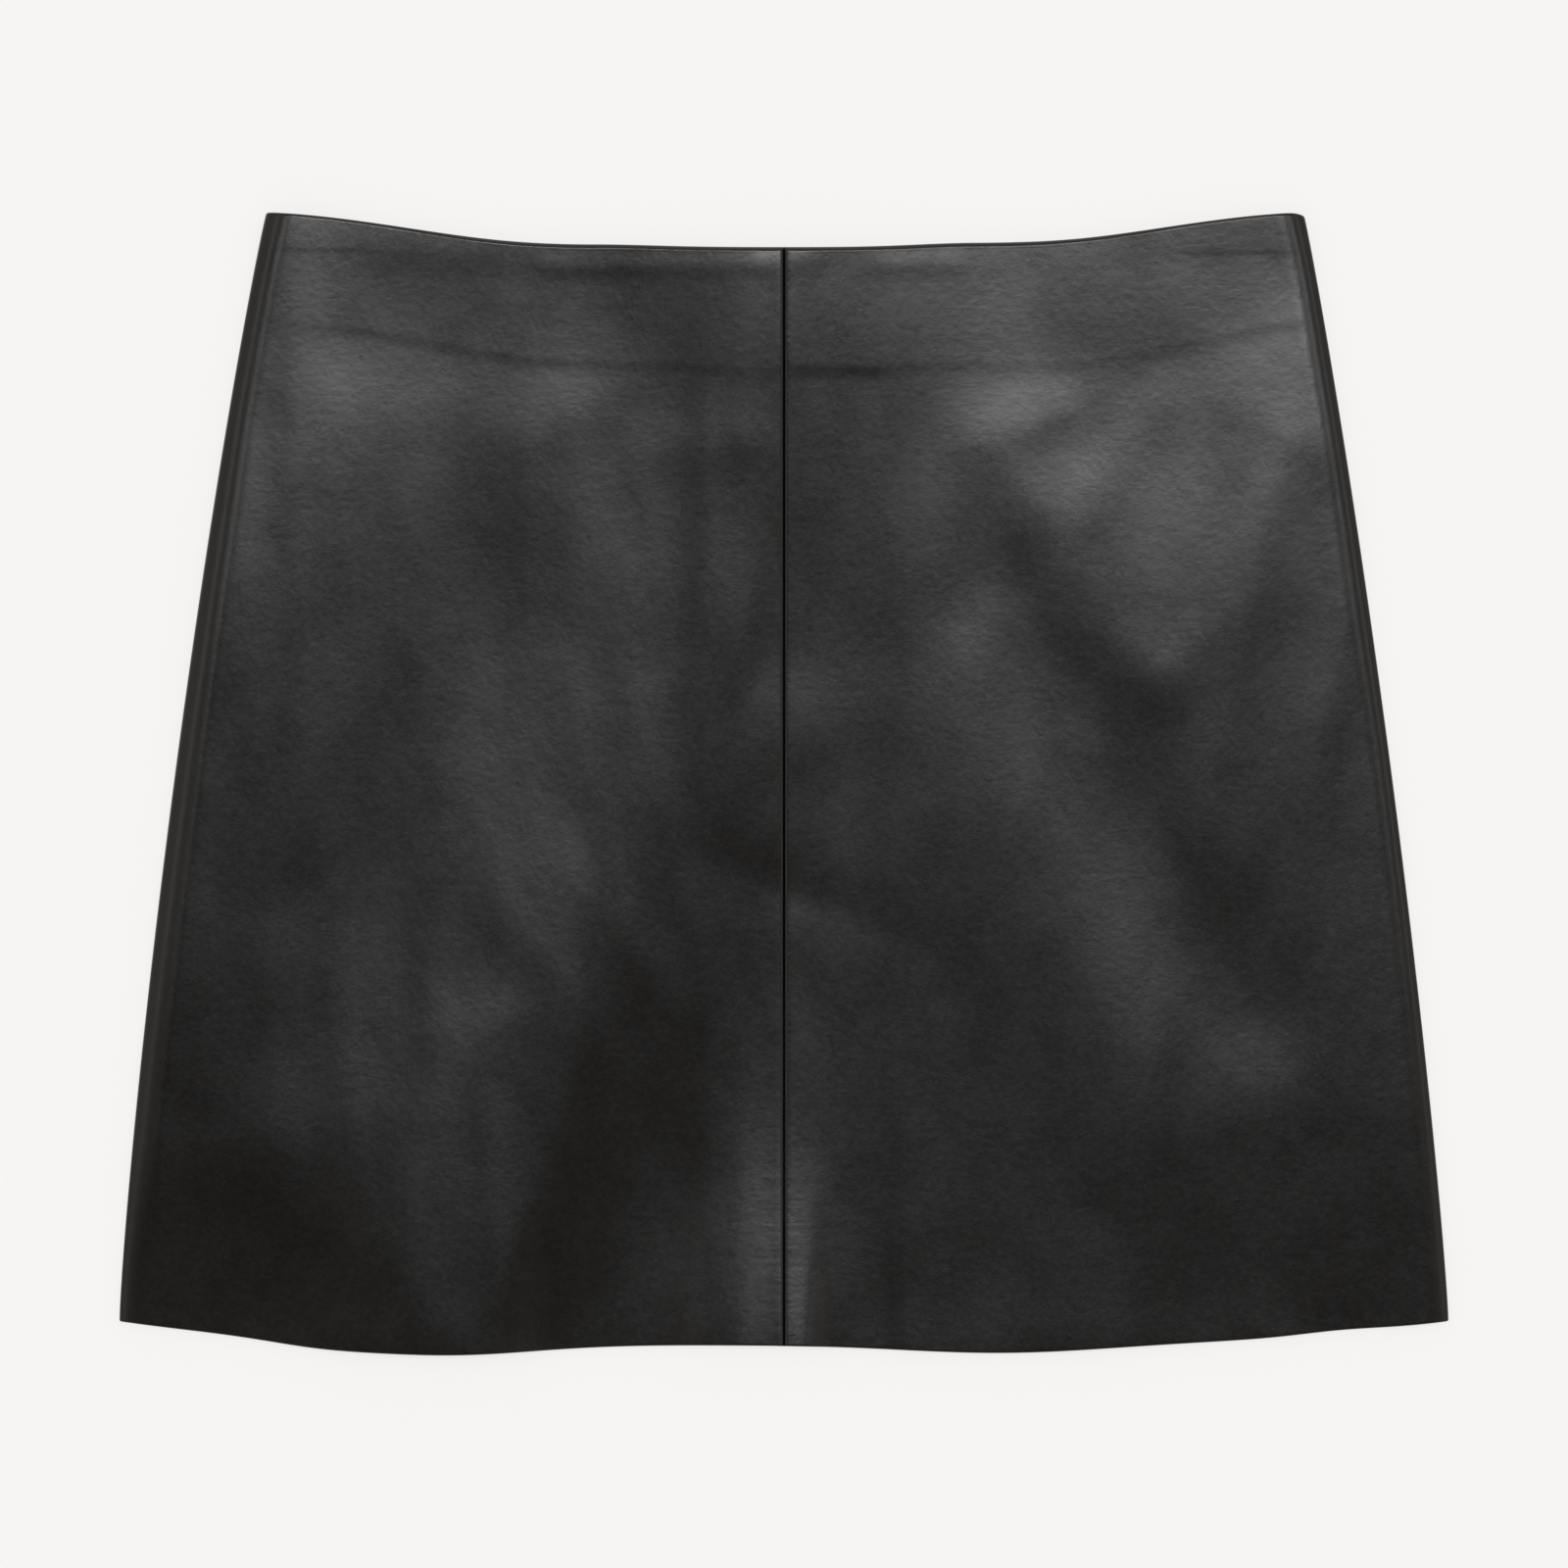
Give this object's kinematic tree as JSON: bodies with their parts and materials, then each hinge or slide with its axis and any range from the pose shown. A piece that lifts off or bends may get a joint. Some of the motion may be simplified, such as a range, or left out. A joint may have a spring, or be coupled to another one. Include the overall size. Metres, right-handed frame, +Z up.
{
  "type": "leather mini skirt",
  "caption": "Short A-line leather skirt lying flat, with a straight centre front seam, a faced waist and a concealed zip in the back seam.",
  "frame": {"origin": "on the surface the skirt lies on, under the middle of its outline seen from above", "axes": "+X across the skirt to the right of a viewer above, +Y from hem to waist, +Z up from the surface through the layers"},
  "size_m": [0.488, 0.4195, 0.0093],
  "materials": {
    "leather": "black nappa leather, semi-matte, with a fine grain",
    "zip_nylon": "black nylon coil",
    "zip_enamel": "black enamel"
  },
  "bodies": {
    "skirt": {"front_panel_left": "leather", "front_panel_right": "leather", "back_panel_left": "leather", "back_panel_right": "leather", "zip_chain": "zip_nylon", "zip_slider": "zip_enamel"},
    "pull_tab": {"zip_pull_tab": "zip_enamel"}
  },
  "joints": [
    {"name": "pull_tab_hinge", "type": "hinge", "parent": "skirt", "child": "pull_tab", "pos_m": [0, 0.1845, 0.0014], "axis": [1, 0, 0], "range_deg": [0, 150]}
  ]
}
